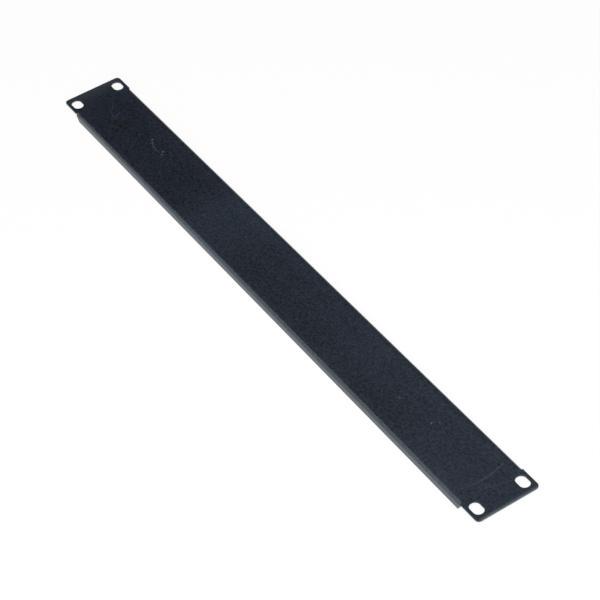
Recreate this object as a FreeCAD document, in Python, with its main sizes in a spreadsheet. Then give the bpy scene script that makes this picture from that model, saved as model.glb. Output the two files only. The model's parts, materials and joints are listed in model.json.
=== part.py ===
"""A blanking panel for a 19-inch rack, one rack unit high.

The real panel is a single piece of sheet steel. Its blank is cut with an ear at each end, four
slots are punched in the ears for the rack screws, and both long edges are folded back between
the ears to stiffen the front. It has no other pieces and nothing on it moves.

Frame: +X runs along the panel, +Y up the rack and +Z out of the front face. The panel lies face
up on the free edges of its two flanges, with the origin midway between them.
"""
import FreeCAD, Part

import math
import os

import Sketcher

# The sizes that drive the model, in millimetres: alias, value, what it measures.
SIZES = (
    ("panel_length", 482.6, "width of a 19-inch front, from ear to ear"),
    ("rack_unit", 44.45, "height of the rack space that the panel closes"),
    ("unit_clearance", 1.45, "how much lower than its rack space the panel is"),
    ("sheet_thickness", 1.2, "thickness of the steel sheet"),
    ("bend_radius", 1.0, "inside radius of the two folds"),
    ("flange_depth", 6.5, "front face to the free edge of a flange"),
    ("slot_end_inset", 8.75, "end of the panel to the middle of a slot"),
    ("slot_unit_inset", 6.35, "edge of the rack space to the middle of a slot"),
    ("slot_width", 6.8, "width of a slot, which clears an M6 screw"),
    ("slot_length", 10.0, "length of a slot from end to end"),
    ("shoulder_web", 2.55, "end of a slot to the shoulder of its ear"),
    ("fold_relief", 0.5, "gap between an ear's shoulder and the end of a flange"),
    ("ear_corner_radius", 2.8, "radius of the four outer corners"),
    ("flange_taper_run", 2.6, "how far the end of a flange slants back along the panel"),
    ("flange_taper_rise", 4.0, "height of that slant above the free edge"),
)

# Lengths that follow from the sizes, as expressions on the cells of the sheet.
HALF_LENGTH = "(sizes.panel_length / 2)"
HALF_HEIGHT = "((sizes.rack_unit - sizes.unit_clearance) / 2)"
OUTER_BEND = "(sizes.bend_radius + sizes.sheet_thickness)"
BEND_LINE = f"({HALF_HEIGHT} - {OUTER_BEND})"
SLOT_X = f"({HALF_LENGTH} - sizes.slot_end_inset)"
SLOT_Y = "(sizes.rack_unit / 2 - sizes.slot_unit_inset)"
SLOT_RADIUS = "(sizes.slot_width / 2)"
SLOT_REACH = f"(sizes.slot_length / 2 - {SLOT_RADIUS})"
SHOULDER = f"({SLOT_X} - sizes.slot_length / 2 - sizes.shoulder_web)"
FLANGE_END = f"({SHOULDER} - sizes.fold_relief)"

# How a constraint names a point of an element, and the sketch's own origin and first axis.
START, END, CENTRE = 1, 2, 3
ORIGIN = (-1, 1)
FIRST_AXIS = -1
QUARTER_TURN = math.radians(90)
UPWARDS = FreeCAD.Vector(0, 0, 1)

doc = FreeCAD.newDocument("rack_blanking_panel")
sheet = doc.addObject("Spreadsheet::Sheet", "sizes")
for row, (alias, size, meaning) in enumerate(SIZES, start=1):
    sheet.set(f"A{row}", meaning)
    sheet.set(f"B{row}", str(size))
    sheet.setAlias(f"B{row}", alias)
doc.recompute()

body = doc.addObject("PartDesign::Body", "panel")
body.Label = "panel"
# The sketches measure down from the front face, and the flanges' free edges are at the frame's zero.
body.setExpression("Placement.Base.z", "sizes.flange_depth")


def value(expression):
    """Work out an expression on the sheet's cells."""
    return float(body.evalExpression(expression))


def at(x, y):
    """Place a sketch point from two expressions."""
    return FreeCAD.Vector(value(x), value(y), 0)


def origin_plane(role):
    """Find one of the body's own origin planes."""
    return next(item for item in body.Origin.OriginFeatures if item.Role == role)


def new_sketch(name, role):
    """Add an empty sketch on one of the body's origin planes."""
    sketch = body.newObject("Sketcher::SketchObject", name)
    sketch.AttachmentSupport = [(origin_plane(role), "")]
    sketch.MapMode = "FlatFace"
    return sketch


def tie(sketch, kind, *where):
    """Add a constraint that has no size."""
    sketch.addConstraint(Sketcher.Constraint(kind, *where))


def bind(sketch, kind, *where, to):
    """Add a dimension to a sketch and bind it to the sheet."""
    number = sketch.addConstraint(Sketcher.Constraint(kind, *where, value(to)))
    sketch.setExpression(f"Constraints[{number}]", to)


def close_loop(sketch, kind, elements):
    """Join the end of each element to the start of the next, and the last to the first."""
    for element, following in zip(elements, elements[1:] + elements[:1]):
        tie(sketch, kind, element, END, following, START)


def add_outline(sketch, corners):
    """Draw straight sides round corners that are pairs of expressions, with each one dimensioned."""
    points = [at(x, y) for x, y in corners]
    sides = [sketch.addGeometry(Part.LineSegment(point, following))
             for point, following in zip(points, points[1:] + points[:1])]
    close_loop(sketch, "Coincident", sides)
    for side, (x, y) in zip(sides, corners):
        bind(sketch, "DistanceX", *ORIGIN, side, START, to=x)
        bind(sketch, "DistanceY", *ORIGIN, side, START, to=y)


def add_rectangle(sketch, left, right, low, high):
    """Draw a rectangle between four expressions."""
    add_outline(sketch, [(left, low), (right, low), (right, high), (left, high)])


def add_slot(sketch, x, y):
    """Draw a round-ended slot about the point x, y, with its length along the first axis."""
    right_x = f"{x} + {SLOT_REACH}"
    left_x = f"{x} - {SLOT_REACH}"
    right = at(right_x, y)
    left = at(left_x, y)
    radius = value(SLOT_RADIUS)
    rise = FreeCAD.Vector(0, radius, 0)
    right_end = sketch.addGeometry(
        Part.ArcOfCircle(Part.Circle(right, UPWARDS, radius), -QUARTER_TURN, QUARTER_TURN))
    top = sketch.addGeometry(Part.LineSegment(right + rise, left + rise))
    left_end = sketch.addGeometry(
        Part.ArcOfCircle(Part.Circle(left, UPWARDS, radius), QUARTER_TURN, 3 * QUARTER_TURN))
    bottom = sketch.addGeometry(Part.LineSegment(left - rise, right - rise))
    close_loop(sketch, "Tangent", [right_end, top, left_end, bottom])
    tie(sketch, "Horizontal", top)
    tie(sketch, "Equal", right_end, left_end)
    bind(sketch, "Radius", right_end, to=SLOT_RADIUS)
    bind(sketch, "DistanceX", *ORIGIN, right_end, CENTRE, to=right_x)
    bind(sketch, "DistanceX", *ORIGIN, left_end, CENTRE, to=left_x)
    bind(sketch, "DistanceY", *ORIGIN, right_end, CENTRE, to=y)


def add_fold_section(sketch):
    """Draw the section of the lower fold: a quarter bend from the face, then a straight flange."""
    centre = at(f"-{BEND_LINE}", f"-{OUTER_BEND}")
    outer_radius = value(OUTER_BEND)
    inner_radius = value("sizes.bend_radius")
    outside = at(f"-{HALF_HEIGHT}", "-sizes.flange_depth")
    inside = outside + FreeCAD.Vector(value("sizes.sheet_thickness"), 0, 0)
    outer_bend = Part.ArcOfCircle(
        Part.Circle(centre, UPWARDS, outer_radius), QUARTER_TURN, 2 * QUARTER_TURN)
    inner_bend = Part.ArcOfCircle(
        Part.Circle(centre, UPWARDS, inner_radius), QUARTER_TURN, 2 * QUARTER_TURN)
    root = sketch.addGeometry(Part.LineSegment(inner_bend.StartPoint, outer_bend.StartPoint))
    outer = sketch.addGeometry(outer_bend)
    outer_wall = sketch.addGeometry(Part.LineSegment(outer_bend.EndPoint, outside))
    free_edge = sketch.addGeometry(Part.LineSegment(outside, inside))
    inner_wall = sketch.addGeometry(Part.LineSegment(inside, inner_bend.EndPoint))
    inner = sketch.addGeometry(inner_bend)
    tie(sketch, "Coincident", root, END, outer, START)
    tie(sketch, "Tangent", outer, END, outer_wall, START)
    tie(sketch, "Coincident", outer_wall, END, free_edge, START)
    tie(sketch, "Coincident", free_edge, END, inner_wall, START)
    tie(sketch, "Tangent", inner_wall, END, inner, END)
    tie(sketch, "Coincident", inner, START, root, START)
    tie(sketch, "Coincident", outer, CENTRE, inner, CENTRE)
    tie(sketch, "PointOnObject", outer, CENTRE, root)
    tie(sketch, "PointOnObject", root, END, FIRST_AXIS)
    tie(sketch, "Vertical", root)
    tie(sketch, "Vertical", outer_wall)
    tie(sketch, "Horizontal", free_edge)
    tie(sketch, "Vertical", inner_wall)
    bind(sketch, "Radius", inner, to="sizes.bend_radius")
    bind(sketch, "DistanceX", *ORIGIN, outer_wall, END, to=f"-{HALF_HEIGHT}")
    bind(sketch, "DistanceY", *ORIGIN, outer_wall, END, to="-sizes.flange_depth")
    bind(sketch, "DistanceX", free_edge, START, free_edge, END, to="sizes.sheet_thickness")


def cut_through(name, sketch, side_type="One side"):
    """Punch a sketch right through the body, and make sure that it takes metal away."""
    volume_before = body.Shape.Volume
    pocket = body.newObject("PartDesign::Pocket", name)
    pocket.Profile = sketch
    pocket.Type = "ThroughAll"
    pocket.SideType = side_type
    doc.recompute()
    if body.Shape.Volume >= volume_before:
        raise RuntimeError(f"{name} cuts nothing")


# The flat blank, as long and as high as the finished front, with its outer corners rounded.
blank_sketch = new_sketch("blank_outline", "XY_Plane")
add_rectangle(blank_sketch, f"-{HALF_LENGTH}", HALF_LENGTH, f"-{HALF_HEIGHT}", HALF_HEIGHT)
blank = body.newObject("PartDesign::Pad", "blank")
blank.Profile = blank_sketch
blank.Reversed = True
blank.setExpression("Length", "sizes.sheet_thickness")
doc.recompute()

upright_edges = [f"Edge{number}" for number, edge in enumerate(blank.Shape.Edges, start=1)
                 if edge.tangentAt(edge.FirstParameter).cross(UPWARDS).Length < Part.Precision.confusion()]
corners = body.newObject("PartDesign::Fillet", "ear_corners")
corners.Base = (blank, upright_edges)
corners.setExpression("Radius", "sizes.ear_corner_radius")
doc.recompute()

# Between the ears the blank goes back to its bend lines, which leaves the shoulders of the ears.
strips_sketch = new_sketch("fold_strips_outline", "XY_Plane")
add_rectangle(strips_sketch, f"-{SHOULDER}", SHOULDER, BEND_LINE, HALF_HEIGHT)
add_rectangle(strips_sketch, f"-{SHOULDER}", SHOULDER, f"-{HALF_HEIGHT}", f"-{BEND_LINE}")
cut_through("fold_strips", strips_sketch)

# The rack's screws pass through a slot in each corner.
slots_sketch = new_sketch("slots_outline", "XY_Plane")
for side_x in ("-", ""):
    for side_y in ("-", ""):
        add_slot(slots_sketch, side_x + SLOT_X, side_y + SLOT_Y)
cut_through("slots", slots_sketch)

# The folds run from just inside one pair of shoulders to just inside the other.
fold_sketch = new_sketch("fold_section", "YZ_Plane")
add_fold_section(fold_sketch)
lower_fold = body.newObject("PartDesign::Pad", "lower_fold")
lower_fold.Profile = fold_sketch
lower_fold.SideType = "Symmetric"
lower_fold.setExpression("Length", f"2 * {FLANGE_END}")
doc.recompute()

both_folds = body.newObject("PartDesign::Mirrored", "both_folds")
both_folds.Originals = [lower_fold]
both_folds.MirrorPlane = (origin_plane("XZ_Plane"), [""])
body.Tip = both_folds
doc.recompute()

# The ends of both flanges slant back towards their free edges.
tapers_sketch = new_sketch("flange_tapers_outline", "XZ_Plane")
for side in ("-", ""):
    add_outline(tapers_sketch, [
        (side + FLANGE_END, "-sizes.flange_depth"),
        (side + FLANGE_END, "sizes.flange_taper_rise - sizes.flange_depth"),
        (f"{side}({FLANGE_END} - sizes.flange_taper_run)", "-sizes.flange_depth"),
    ])
cut_through("flange_tapers", tapers_sketch, side_type="Symmetric")

doc.recompute()
for item in doc.Objects:
    if "Invalid" in item.State or "Error" in item.State:
        raise RuntimeError(f"{item.Name} failed: {item.State}")
for sketch in (blank_sketch, strips_sketch, slots_sketch, fold_sketch, tapers_sketch):
    if not sketch.FullyConstrained:
        raise RuntimeError(f"{sketch.Name} can still move")
if body.Shape.isNull() or not body.Shape.isValid() or len(body.Shape.Solids) != 1:
    raise RuntimeError("the panel isn't one sound solid")

os.makedirs("parts", exist_ok=True)
body.Shape.exportStep(f"parts/{body.Label}.step")
box = body.Shape.BoundBox
print(f"{body.Label}: {box.XLength:.2f} x {box.YLength:.2f} x {box.ZLength:.2f} mm,"
      f" low {box.XMin:.2f} {box.YMin:.2f} {box.ZMin:.2f}, volume {body.Shape.Volume:.1f} mm3,"
      f" {len(body.Shape.Faces)} faces")
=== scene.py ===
"""The looks of a blanking panel for a 19-inch rack: one folded steel sheet with a powder coat."""
import json
import math

import bpy
from mathutils import Matrix, Vector


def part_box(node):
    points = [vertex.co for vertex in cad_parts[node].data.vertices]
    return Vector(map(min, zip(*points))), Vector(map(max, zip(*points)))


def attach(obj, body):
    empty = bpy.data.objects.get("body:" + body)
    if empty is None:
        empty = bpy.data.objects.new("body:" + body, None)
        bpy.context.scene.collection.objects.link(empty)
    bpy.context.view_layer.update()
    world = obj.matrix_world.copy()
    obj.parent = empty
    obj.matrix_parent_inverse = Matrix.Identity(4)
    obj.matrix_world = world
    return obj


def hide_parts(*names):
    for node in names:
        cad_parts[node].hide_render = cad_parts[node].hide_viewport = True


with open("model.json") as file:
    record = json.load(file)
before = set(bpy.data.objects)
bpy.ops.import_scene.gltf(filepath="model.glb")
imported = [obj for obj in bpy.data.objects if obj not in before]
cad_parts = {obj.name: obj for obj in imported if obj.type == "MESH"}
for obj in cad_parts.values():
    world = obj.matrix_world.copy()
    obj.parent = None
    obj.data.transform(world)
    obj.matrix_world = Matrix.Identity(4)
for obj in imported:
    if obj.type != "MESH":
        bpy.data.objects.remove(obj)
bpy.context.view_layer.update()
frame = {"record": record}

# ---------------------------------------------------------------------------------------------
# The panel
#
# The real panel is one piece of 1.2 mm sheet steel, punched flat with its four slots. Its long
# edges are then folded back between the ears, and it is powder coated all over. Rack screws
# through the slots hold its ears against the rails.

mm = 0.001
slots = next(mount for mount in frame["record"]["mounts"] if mount["name"] == "rack_slots")
half_length, half_height, front_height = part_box("panel")[1]
sheet_thickness = front_height - slots["pos_m"][2]
slot_spacing_x = slots["dims"]["spacing_x_mm"] * mm
slot_spacing_y = slots["dims"]["spacing_y_mm"] * mm
slot_width = 2 * slots["dims"]["hole_r_mm"] * mm
slot_length = slots["dims"]["slot_length_mm"] * mm
ear_corner_radius = 2.8 * mm
inside_bend_radius = 1.0 * mm
outer_bend_radius = inside_bend_radius + sheet_thickness
bend_line = half_height - outer_bend_radius
bend_run = outer_bend_radius * math.pi / 2
bend_steps = 16
corner_steps = 12
shoulder_web = 2.55 * mm
shoulder = (slot_spacing_x - slot_length) / 2 - shoulder_web
fold_relief = 0.5 * mm
fold_end = shoulder - fold_relief
blank_edge = bend_line + bend_run + front_height - outer_bend_radius
taper_run = 2.6 * mm
taper_rise = 4.0 * mm
edge_rounding = 0.2 * mm
border = 0.6 * mm
guard = 0.3 * mm
weld = 0.001 * mm
slot_end_steps = 20
almost_half = 0.4999


def mirrored(corners):
    """A quarter of an outline with its mirror images, anticlockwise round the middle."""
    half = corners + [(-x, y) for x, y in reversed(corners)]
    return half + [(-x, -y) for x, y in half]


def set_in(outline, distance):
    """The same outline moved into the metal, which lies on its left."""
    moved = []
    neighbours = zip(outline[-1:] + outline[:-1], outline, outline[1:] + outline[:1])
    for before, point, after in neighbours:
        arriving = (Vector(point) - Vector(before)).normalized()
        leaving = (Vector(after) - Vector(point)).normalized()
        middle = (arriving + leaving).normalized()
        reach = distance / middle.dot(arriving)
        moved.append((point[0] - middle.y * reach, point[1] + middle.x * reach))
    return moved


def flat_blank():
    """The blank with its middle open: a border of faces inside the plate's edge, and both folds."""
    corner = Vector((half_length - ear_corner_radius, half_height - ear_corner_radius))
    turns = [math.radians(90 * step / corner_steps) for step in range(corner_steps + 1)]
    ear = [tuple(corner + ear_corner_radius * Vector((math.cos(t), math.sin(t)))) for t in turns]
    plate = mirrored(ear + [
        (shoulder, half_height),
        (shoulder, bend_line),
        (fold_end, bend_line),
        (fold_end, bend_line - guard),
    ])
    count = len(plate)
    points = plate + set_in(plate, border)
    faces = [(i, (i + 1) % count, count + (i + 1) % count, count + i) for i in range(count)]
    bend_rows = [bend_line + bend_run * step / bend_steps for step in range(bend_steps + 1)]
    rows = [(fold_end, y) for y in [bend_line - guard, *bend_rows, blank_edge - taper_rise]]
    rows.append((fold_end - taper_run, blank_edge))
    for side in (1, -1):
        for (x0, y0), (x1, y1) in zip(rows, rows[1:]):
            strip = [(x0, y0 * side), (x1, y1 * side), (-x1, y1 * side), (-x0, y0 * side)]
            faces.append([len(points) + i for i in range(4)][::side])
            points += strip
    mesh = bpy.data.meshes.new("panel_blank")
    mesh.from_pydata([(x, y, 0) for x, y in points], [], faces)
    inner = mesh.attributes.new("open_side", "BOOLEAN", "EDGE")
    for edge in mesh.edges:
        inner.data[edge.index].value = all(count <= end < 2 * count for end in edge.vertices)
    return mesh


class Wire:
    """An output of a node. Sums written with it add Math nodes to its tree."""

    def __init__(self, nodes, socket):
        self.nodes = nodes
        self.socket = socket

    def __getitem__(self, name):
        return Wire(self.nodes, self.socket.node.outputs[name])

    def math(self, operation, *others):
        return self.nodes.add("ShaderNodeMath", {"operation": operation}, self, *others)

    def __add__(self, other):
        return self.math("ADD", other)

    __radd__ = __add__

    def __sub__(self, other):
        return self.math("SUBTRACT", other)

    def __rsub__(self, other):
        return self.nodes.add("ShaderNodeMath", {"operation": "SUBTRACT"}, other, self)

    def __mul__(self, other):
        return self.math("MULTIPLY", other)

    __rmul__ = __mul__

    def __truediv__(self, other):
        return self.math("DIVIDE", other)

    def __lt__(self, other):
        return self.math("LESS_THAN", other)

    def __gt__(self, other):
        return self.math("GREATER_THAN", other)

    def __abs__(self):
        return self.math("ABSOLUTE")


class Nodes:
    """A node tree that is filled one node at a time."""

    def __init__(self, tree):
        self.tree = tree
        tree.nodes.clear()

    def add(self, kind, settings=None, *values, **named):
        """A node of a type: its settings, then its sockets by order or name, as values or wires."""
        node = self.tree.nodes.new(kind)
        for name, setting in (settings or {}).items():
            setattr(node, name, setting)
        sockets = [socket for socket in node.inputs if socket.enabled]
        by_name = {socket.name.replace(" ", "_"): socket for socket in reversed(sockets)}
        given = list(zip(sockets, values))
        given += [(by_name[name], value) for name, value in named.items()]
        for socket, value in given:
            if isinstance(value, Wire):
                self.tree.links.new(value.socket, socket)
            elif value is not None:
                socket.default_value = value
        outputs = [socket for socket in node.outputs if socket.enabled]
        return Wire(self, outputs[0]) if outputs else None


def new_press(title, inputs):
    """A Geometry Nodes tree with named inputs, its nodes, and the node that gives the inputs."""
    tree = bpy.data.node_groups.new(title, "GeometryNodeTree")
    tree.is_modifier = True
    for name, kind in inputs.items():
        tree.interface.new_socket(name, in_out="INPUT", socket_type="NodeSocket" + kind)
    tree.interface.new_socket("Sheet", in_out="OUTPUT", socket_type="NodeSocketGeometry")
    nodes = Nodes(tree)
    return tree, nodes, nodes.add("NodeGroupInput")


def punching():
    """Fills the middle of the blank round four slots, and makes the sheet thick."""
    tree, nodes, given = new_press("punching", {
        "Blank": "Geometry", "Thickness": "Float", "Spacing X": "Float", "Spacing Y": "Float",
        "Slot Length": "Float", "Slot Width": "Float", "Border": "Float", "Coat": "Material"})
    long, wide, margin = given["Slot Length"], given["Slot Width"], given["Border"]

    def round_ended(length, width):
        oblong = nodes.add("GeometryNodeCurvePrimitiveQuadrilateral", None, length, width)
        return nodes.add(
            "GeometryNodeFilletCurve", {"mode": "POLY"}, oblong, slot_end_steps, width * almost_half)

    def join(*parts):
        joined = nodes.add("GeometryNodeJoinGeometry")
        for part in reversed(parts):
            nodes.tree.links.new(part.socket, joined.socket.node.inputs[0])
        return joined

    corners = nodes.add("GeometryNodeMeshGrid", None, given["Spacing X"], given["Spacing Y"], 2, 2)
    slot = round_ended(long, wide)
    clearing = round_ended(long + 2 * margin, wide + 2 * margin)
    rim = nodes.add("GeometryNodeFillCurve", None, join(slot, clearing))
    rims = nodes.add("GeometryNodeInstanceOnPoints", None, corners, Instance=rim)
    clearings = nodes.add("GeometryNodeInstanceOnPoints", None, corners, Instance=clearing)
    open_side = nodes.add("GeometryNodeInputNamedAttribute", {"data_type": "BOOLEAN"}, "open_side")
    edge = nodes.add("GeometryNodeMeshToCurve", None, given["Blank"], open_side)
    clear_edges = nodes.add("GeometryNodeRealizeInstances", None, clearings)
    middle = nodes.add("GeometryNodeFillCurve", None, join(edge, clear_edges))
    flat = join(given["Blank"], middle, nodes.add("GeometryNodeRealizeInstances", None, rims))
    flat = nodes.add("GeometryNodeMergeByDistance", None, flat, Distance=weld)
    thick = nodes.add(
        "GeometryNodeExtrudeMesh", None, flat, Offset_Scale=given["Thickness"], Individual=False)
    back = nodes.add("GeometryNodeFlipFaces", None, flat)
    sheet = nodes.add("GeometryNodeMergeByDistance", None, join(thick, back), Distance=weld)
    plain = nodes.add("GeometryNodeRealizeInstances", None, sheet)
    coated = nodes.add("GeometryNodeSetMaterial", None, plain, Material=given["Coat"])
    nodes.add("NodeGroupOutput", None, coated)
    return tree


def folding():
    """Folds a flat sheet: between the ears each long edge goes round its bend and straight on."""
    tree, nodes, given = new_press("folding", {
        "Sheet": "Geometry", "Thickness": "Float", "Bend Line": "Float", "Outer Bend Radius": "Float",
        "Fold Reach": "Float", "Front Height": "Float", "Coat": "Material"})
    line, radius = given["Bend Line"], given["Outer Bend Radius"]
    place = nodes.add("ShaderNodeSeparateXYZ", None, nodes.add("GeometryNodeInputPosition"))
    across = abs(place["Y"])
    depth = given["Thickness"] - place["Z"]
    past = (across - line).math("MAXIMUM", 0.0) * (abs(place["X"]) < given["Fold Reach"])
    flat = across - past
    run = radius * (math.pi / 2)
    turn = past.math("MINIMUM", run) / radius
    leg = (past - run).math("MAXIMUM", 0.0)
    y = flat + (radius - depth) * turn.math("SINE")
    z = given["Front Height"] - radius + (radius - depth) * turn.math("COSINE") - leg
    folded = nodes.add("ShaderNodeCombineXYZ", None, place["X"], y * place["Y"].math("SIGN"), z)
    shaped = nodes.add("GeometryNodeSetPosition", None, given["Sheet"], None, folded)
    smooth = nodes.add("GeometryNodeSetShadeSmooth", None, shaped)
    plain = nodes.add("GeometryNodeRealizeInstances", None, smooth)
    coated = nodes.add("GeometryNodeSetMaterial", None, plain, Material=given["Coat"])
    nodes.add("NodeGroupOutput", None, coated)
    return tree


def work(piece, tree, **inputs):
    """Adds a Geometry Nodes modifier to a piece and sets the tree's named inputs."""
    modifier = piece.modifiers.new(tree.name, "NODES")
    modifier.node_group = tree
    for socket in tree.interface.items_tree:
        name = socket.name.replace(" ", "_")
        if name in inputs:
            modifier[socket.identifier] = inputs[name]


coat = bpy.data.materials.new("black_powder_coat")
coat.use_nodes = True
nodes = Nodes(coat.node_tree)
place = nodes.add("ShaderNodeTexCoord")["Object"]
spot = nodes.add("ShaderNodeSeparateXYZ", None, place)
flat_place = nodes.add("ShaderNodeCombineXYZ", None, spot["X"], spot["Y"], 0.0)
front = spot["Z"] > front_height - 0.1 * mm


def noise(period, detail, roughness=0.55):
    """Noise whose lumps are about one period apart."""
    return nodes.add(
        "ShaderNodeTexNoise", None, place, Scale=1 / period, Detail=detail, Roughness=roughness)


def ramp(value, start, end):
    """0 up to one value, 1 past another, and an even S curve between them."""
    settings = {"interpolation_type": "SMOOTHSTEP"}
    return nodes.add("ShaderNodeMapRange", settings, value, start, end, 0.0, 1.0)


def between_the_ears(along):
    """1 on the part of the front between the ears and 0 on the ears."""
    return ramp(abs(along), shoulder + 1 * mm, shoulder - 3 * mm)


def vector(operation, *values):
    return nodes.add("ShaderNodeVectorMath", {"operation": operation}, *values)


def scratch(start, end, bow, width):
    """A scratch on the front face between two points in mm, bowed to its left. It fades at its ends."""
    first, last = Vector(start) * mm, Vector(end) * mm
    along = (last - first).normalized()
    length = (last - first).length
    radius = length ** 2 / (8 * bow * mm) + bow * mm / 2
    aside = Vector((-along.y, along.x))
    centre = (first + last) / 2 + aside * (bow * mm - radius)
    off = abs(vector("LENGTH", vector("SUBTRACT", flat_place, (*centre, 0)))["Value"] - radius)
    from_first = vector("SUBTRACT", flat_place, (*first, 0))
    run = vector("DOT_PRODUCT", from_first, (*along, 0))["Value"] / length
    bowed_side = vector("DOT_PRODUCT", from_first, (*aside, 0))["Value"] > -width * mm
    fade = ramp(run, 0.0, 0.15) * ramp(run, 1.0, 0.85) * bowed_side
    return ramp(off, width * mm, 0.3 * width * mm) * fade


def chip(x, y, size):
    """A small nick in the coat of the front face, with a ragged edge."""
    away = vector("LENGTH", vector("SUBTRACT", flat_place, (x * mm, y * mm, 0)))["Value"]
    return ramp(away + 0.6 * size * mm * ragged, size * mm, 0.4 * size * mm)


cloud = noise(60 * mm, 2.0)
mottle = noise(9 * mm, 3.0)
grain = noise(1.7 * mm, 2.0, 0.7)
powder = noise(0.6 * mm, 2.0)
ragged = noise(0.7 * mm, 1.0)
broken = ramp(noise(5 * mm, 1.0), 0.38, 0.6)

long_scratch = scratch((213.6, 18.5), (215.2, -17.2), 3.4, 0.5)
scuffs = (
    0.5 * scratch((228.4, 12.5), (222.8, -6.0), 0.4, 0.5)
    + 0.35 * scratch((221.0, -8.0), (223.0, 1.0), 0.3, 0.6)
    + 0.3 * scratch((204.5, -3.5), (205.0, 0.5), 0.2, 0.6)
    + 0.5 * scratch((-218.5, 4.3), (-211.0, -0.4), 0.3, 0.6)
    + 0.5 * scratch((-211.4, -1.4), (-201.5, -5.0), 0.4, 0.6)
    + 0.6 * scratch((-200.5, -4.4), (-206.2, 3.9), 0.3, 0.7)
    + 0.7 * scratch((-150.5, 2.2), (-162.0, 3.7), 1.0, 0.8)
)
nicks = (
    1.5 * chip(-164.9, 5.2, 1.6)
    + 1.4 * chip(-161.9, 3.6, 1.4)
    + 1.4 * chip(-148.9, 4.4, 1.4)
    + 1.3 * chip(-146.8, 2.0, 1.5)
    + 0.7 * chip(-144.7, 0.3, 1.2)
    + chip(137.2, -1.3, 1.2)
    + 1.1 * chip(164.9, 1.6, 1.3)
    + chip(167.6, 5.4, 1.0)
)
worn = front * (
    long_scratch * (0.5 + 1.3 * ragged * broken) + scuffs * (0.4 + 1.4 * ragged) + 2.3 * nicks)
along, across = spot["X"], spot["Y"]
# Painted highlight: along the right end's edge the coat is painted paler, for the gleam of its rounded
# edge, and partly for edge wear there.
right_rim = ramp(along, half_length - 2.2 * mm, half_length) * ramp(abs(across), half_height, 18 * mm)
# The far ear's end is painted paler as well: a painted glare.
edge_wear_and_painted_glare = right_rim * (0.37 + 0.75 * mottle) + 0.22 * ramp(along, -227 * mm, -half_length)
# A broad round patch of the front, about 60 mm from the middle towards the far end, is coloured a little
# lighter.
from_lighter_patch = vector("LENGTH", vector("SUBTRACT", place, (-60 * mm, 0, front_height)))["Value"]
lighter_patch = ramp(from_lighter_patch, 45 * mm, 5 * mm)
# Painted shade: the front is coloured darker towards its far end.
painted_shade_far_end = ramp(along, -75 * mm, -115 * mm) * ramp(along, -240 * mm, -205 * mm)
# Painted shade darkens the near half of the front over its middle, and painted light lightens the strip
# along its far long edge.
painted_shade_near_side = ramp(across, 4 * mm, -12 * mm) * ramp(along, -40 * mm, 0.0) * ramp(along, 200 * mm, 110 * mm)
painted_light_far_side = ramp(across, 8 * mm, 18 * mm)
# The coat's tone varies at random, and it also carries the painted shade and painted light above.
tone_and_painted_shade = (
    1 + 0.5 * (cloud - 0.5) + 0.25 * (mottle - 0.5) + 2.6 * (grain - 0.5)
    + 0.2 * lighter_patch + 0.2 * painted_light_far_side - 0.22 * painted_shade_far_end - 0.2 * painted_shade_near_side
)
blue_black = (0.0158, 0.0206, 0.0285)
pale_wear_and_glare = (0.104, 0.124, 0.137, 1)
colour = vector("SCALE", blue_black, tone_and_painted_shade.math("MAXIMUM", 0.2))
# The pale grey is mixed in both for worn coat and for the painted highlight and glare at the ends.
colour = nodes.add(
    "ShaderNodeMix", {"data_type": "RGBA"}, 0.26 * worn + 0.7 * edge_wear_and_painted_glare, colour, pale_wear_and_glare)
roughness = 0.22 + 0.06 * mottle + 0.14 * grain + 0.1 * worn
ease = ramp(abs(across), 16.2 * mm, half_height) * between_the_ears(along)
height = 0.010 * mm * grain + 0.002 * mm * powder - 0.01 * mm * worn - 0.35 * mm * ease
relief = nodes.add("ShaderNodeBump", None, 1.0, 1.0, Height=height)
# The gloss is tinted blue: a painted cool cast on its reflections, standing in for cooler light.
surface = nodes.add(
    "ShaderNodeBsdfPrincipled", None, colour, Roughness=roughness, IOR=1.5, Normal=relief,
    Specular_Tint=(0.86, 1.0, 1.12, 1))
nodes.add("ShaderNodeOutputMaterial", None, surface)

blank = bpy.data.objects.new("panel_blank", flat_blank())
blank.data.materials.append(coat)
bpy.context.scene.collection.objects.link(blank)
work(blank, punching(), Thickness=sheet_thickness, Spacing_X=slot_spacing_x, Spacing_Y=slot_spacing_y,
     Slot_Length=slot_length, Slot_Width=slot_width, Border=border, Coat=coat)
work(blank, folding(), Thickness=sheet_thickness, Bend_Line=bend_line, Outer_Bend_Radius=outer_bend_radius,
     Fold_Reach=(fold_end + shoulder) / 2, Front_Height=front_height, Coat=coat)
rounding = blank.modifiers.new("edges", "BEVEL")
rounding.width = edge_rounding
rounding.segments = 3
rounding.limit_method = "ANGLE"
rounding.angle_limit = math.radians(40)
rounding.use_clamp_overlap = False
finish = blank.modifiers.new("shading", "WEIGHTED_NORMAL")
finish.keep_sharp = False
pressed = blank.evaluated_get(bpy.context.evaluated_depsgraph_get())
panel = bpy.data.objects.new("folded_panel", bpy.data.meshes.new_from_object(pressed))
# A few vertices come out a hair above the front face, and are set back level with it.
for vertex in panel.data.vertices:
    vertex.co.z = min(vertex.co.z, front_height)
bpy.context.scene.collection.objects.link(panel)
bpy.data.objects.remove(blank)
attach(panel, "root")
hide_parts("panel")

# ---------------------------------------------------------------------------------------------
# The floor
#
# A wide, flat floor of matt white paint, lit almost evenly all over. The panel lies on it face
# up, resting on the edges of its two folds, and nothing fixes it there.

floor_mesh = bpy.data.meshes.new("floor")
reach = 30
floor_corners = [(-reach, -reach, 0), (reach, -reach, 0), (reach, reach, 0), (-reach, reach, 0)]
floor_mesh.from_pydata(floor_corners, [], [(0, 1, 2, 3)])
floor = bpy.data.objects.new("floor", floor_mesh)
bpy.context.scene.collection.objects.link(floor)


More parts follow.
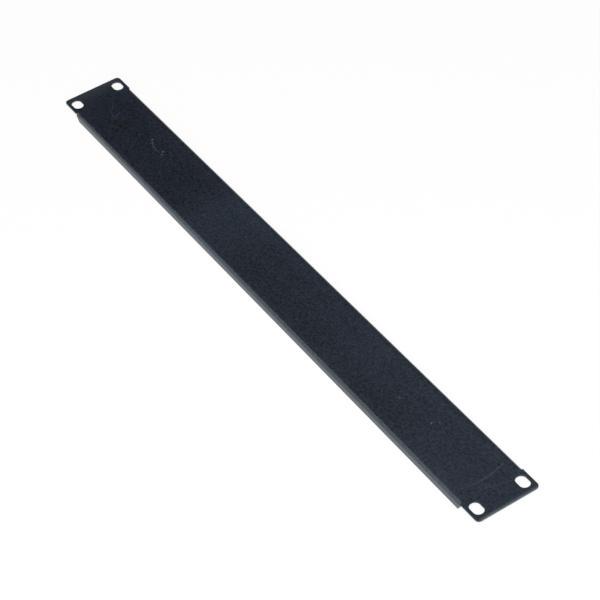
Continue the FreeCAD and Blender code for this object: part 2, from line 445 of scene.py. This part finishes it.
def seen_directly():
    """1 for what the camera sees, straight or in a gloss or through glass, and 0 for spread light."""
    ray = nodes.add("ShaderNodeLightPath")
    kinds = ray["Is Camera Ray"] + ray["Is Glossy Ray"] + ray["Is Transmission Ray"]
    return kinds.math("MINIMUM", 1.0)


paint = bpy.data.materials.new("white_floor")
paint.use_nodes = True
nodes = Nodes(paint.node_tree)
matt = nodes.add("ShaderNodeBsdfDiffuse", None, (0.9, 0.9, 0.9, 1))
white = nodes.add("ShaderNodeEmission", None, (1, 1, 1, 1), 1.0)
white_share = 0.92
painted = nodes.add("ShaderNodeMixShader", None, seen_directly() * white_share, matt, white)
nodes.add("ShaderNodeOutputMaterial", None, painted)
floor_mesh.materials.append(paint)

# ---------------------------------------------------------------------------------------------
# The light
#
# Four soft boxes of nearly white light, hung clear of the panel: a strong key past its right
# end and three dimmer ones to its left. The room round them gives a very dim, even light, and
# its lower part is seen as white as the floor.

world = bpy.data.worlds.new("room")
bpy.context.scene.world = world
world.use_nodes = True
nodes = Nodes(world.node_tree)
direction = nodes.add("ShaderNodeSeparateXYZ", None, nodes.add("ShaderNodeTexCoord")["Generated"])
backdrop = nodes.add("ShaderNodeBackground", None, (1, 1, 1, 1), 1.0)
dim_room = nodes.add("ShaderNodeBackground", None, (1, 1, 1, 1), 0.03)
backdrop_top = 0.15
low = seen_directly() * (direction["Z"] < backdrop_top)
nodes.add("ShaderNodeOutputWorld", None, nodes.add("ShaderNodeMixShader", None, low, dim_room, backdrop))


def soft_box(name, position, width, height, radiance, colour=(1, 1, 1)):
    """A rectangular lamp of even brightness that faces the middle of the panel."""
    lamp = bpy.data.lights.new(name, "AREA")
    lamp.shape = "RECTANGLE"
    lamp.size = width
    lamp.size_y = height
    lamp.energy = radiance * math.pi * width * height
    lamp.color = colour
    box = bpy.data.objects.new(name, lamp)
    box.location = position
    box.rotation_euler = Vector(position).to_track_quat("Z", "Y").to_euler()
    bpy.context.scene.collection.objects.link(box)
    return box


# The key lamp lights the coat but isn't mirrored in it, which would wash it pale from low behind.
key = soft_box("key", (1.1, -0.55, 1.03), 1.4, 1.4, 7.1)
key.visible_glossy = False
soft_box("side", (-0.8, -1.6, 0.7), 2.4, 1.4, 1.15, (0.91, 1.0, 1.06))
soft_box("rear_side", (-1.3, -1.1, 1.7), 1.2, 1.0, 2.0, (0.94, 1.0, 1.03))
soft_box("rear_top", (-0.9, 0.45, 2.0), 1.2, 1.2, 0.25)

# ---------------------------------------------------------------------------------------------
# The camera
#
# It stands beyond the panel's right end, above its near side, and looks down along it
# through a long lens, so that the panel crosses the view from corner to corner.

camera_data = bpy.data.cameras.new("camera")
camera_data.sensor_width = 36
camera_data.lens = 129.02
camera = bpy.data.objects.new("camera", camera_data)
right = Vector((0.539228, 0.835785, -0.103421))
up = Vector((-0.53659, 0.435623, 0.722706))
back = Vector((0.649079, -0.334209, 0.683374))
standpoint = Vector((0.886653, -0.442645, 0.907717))
turn = Matrix((right, up, back)).transposed().to_4x4()
camera.matrix_world = Matrix.Translation(standpoint) @ turn
bpy.context.scene.collection.objects.link(camera)
bpy.context.scene.camera = camera
bpy.context.scene.view_settings.view_transform = "Standard"
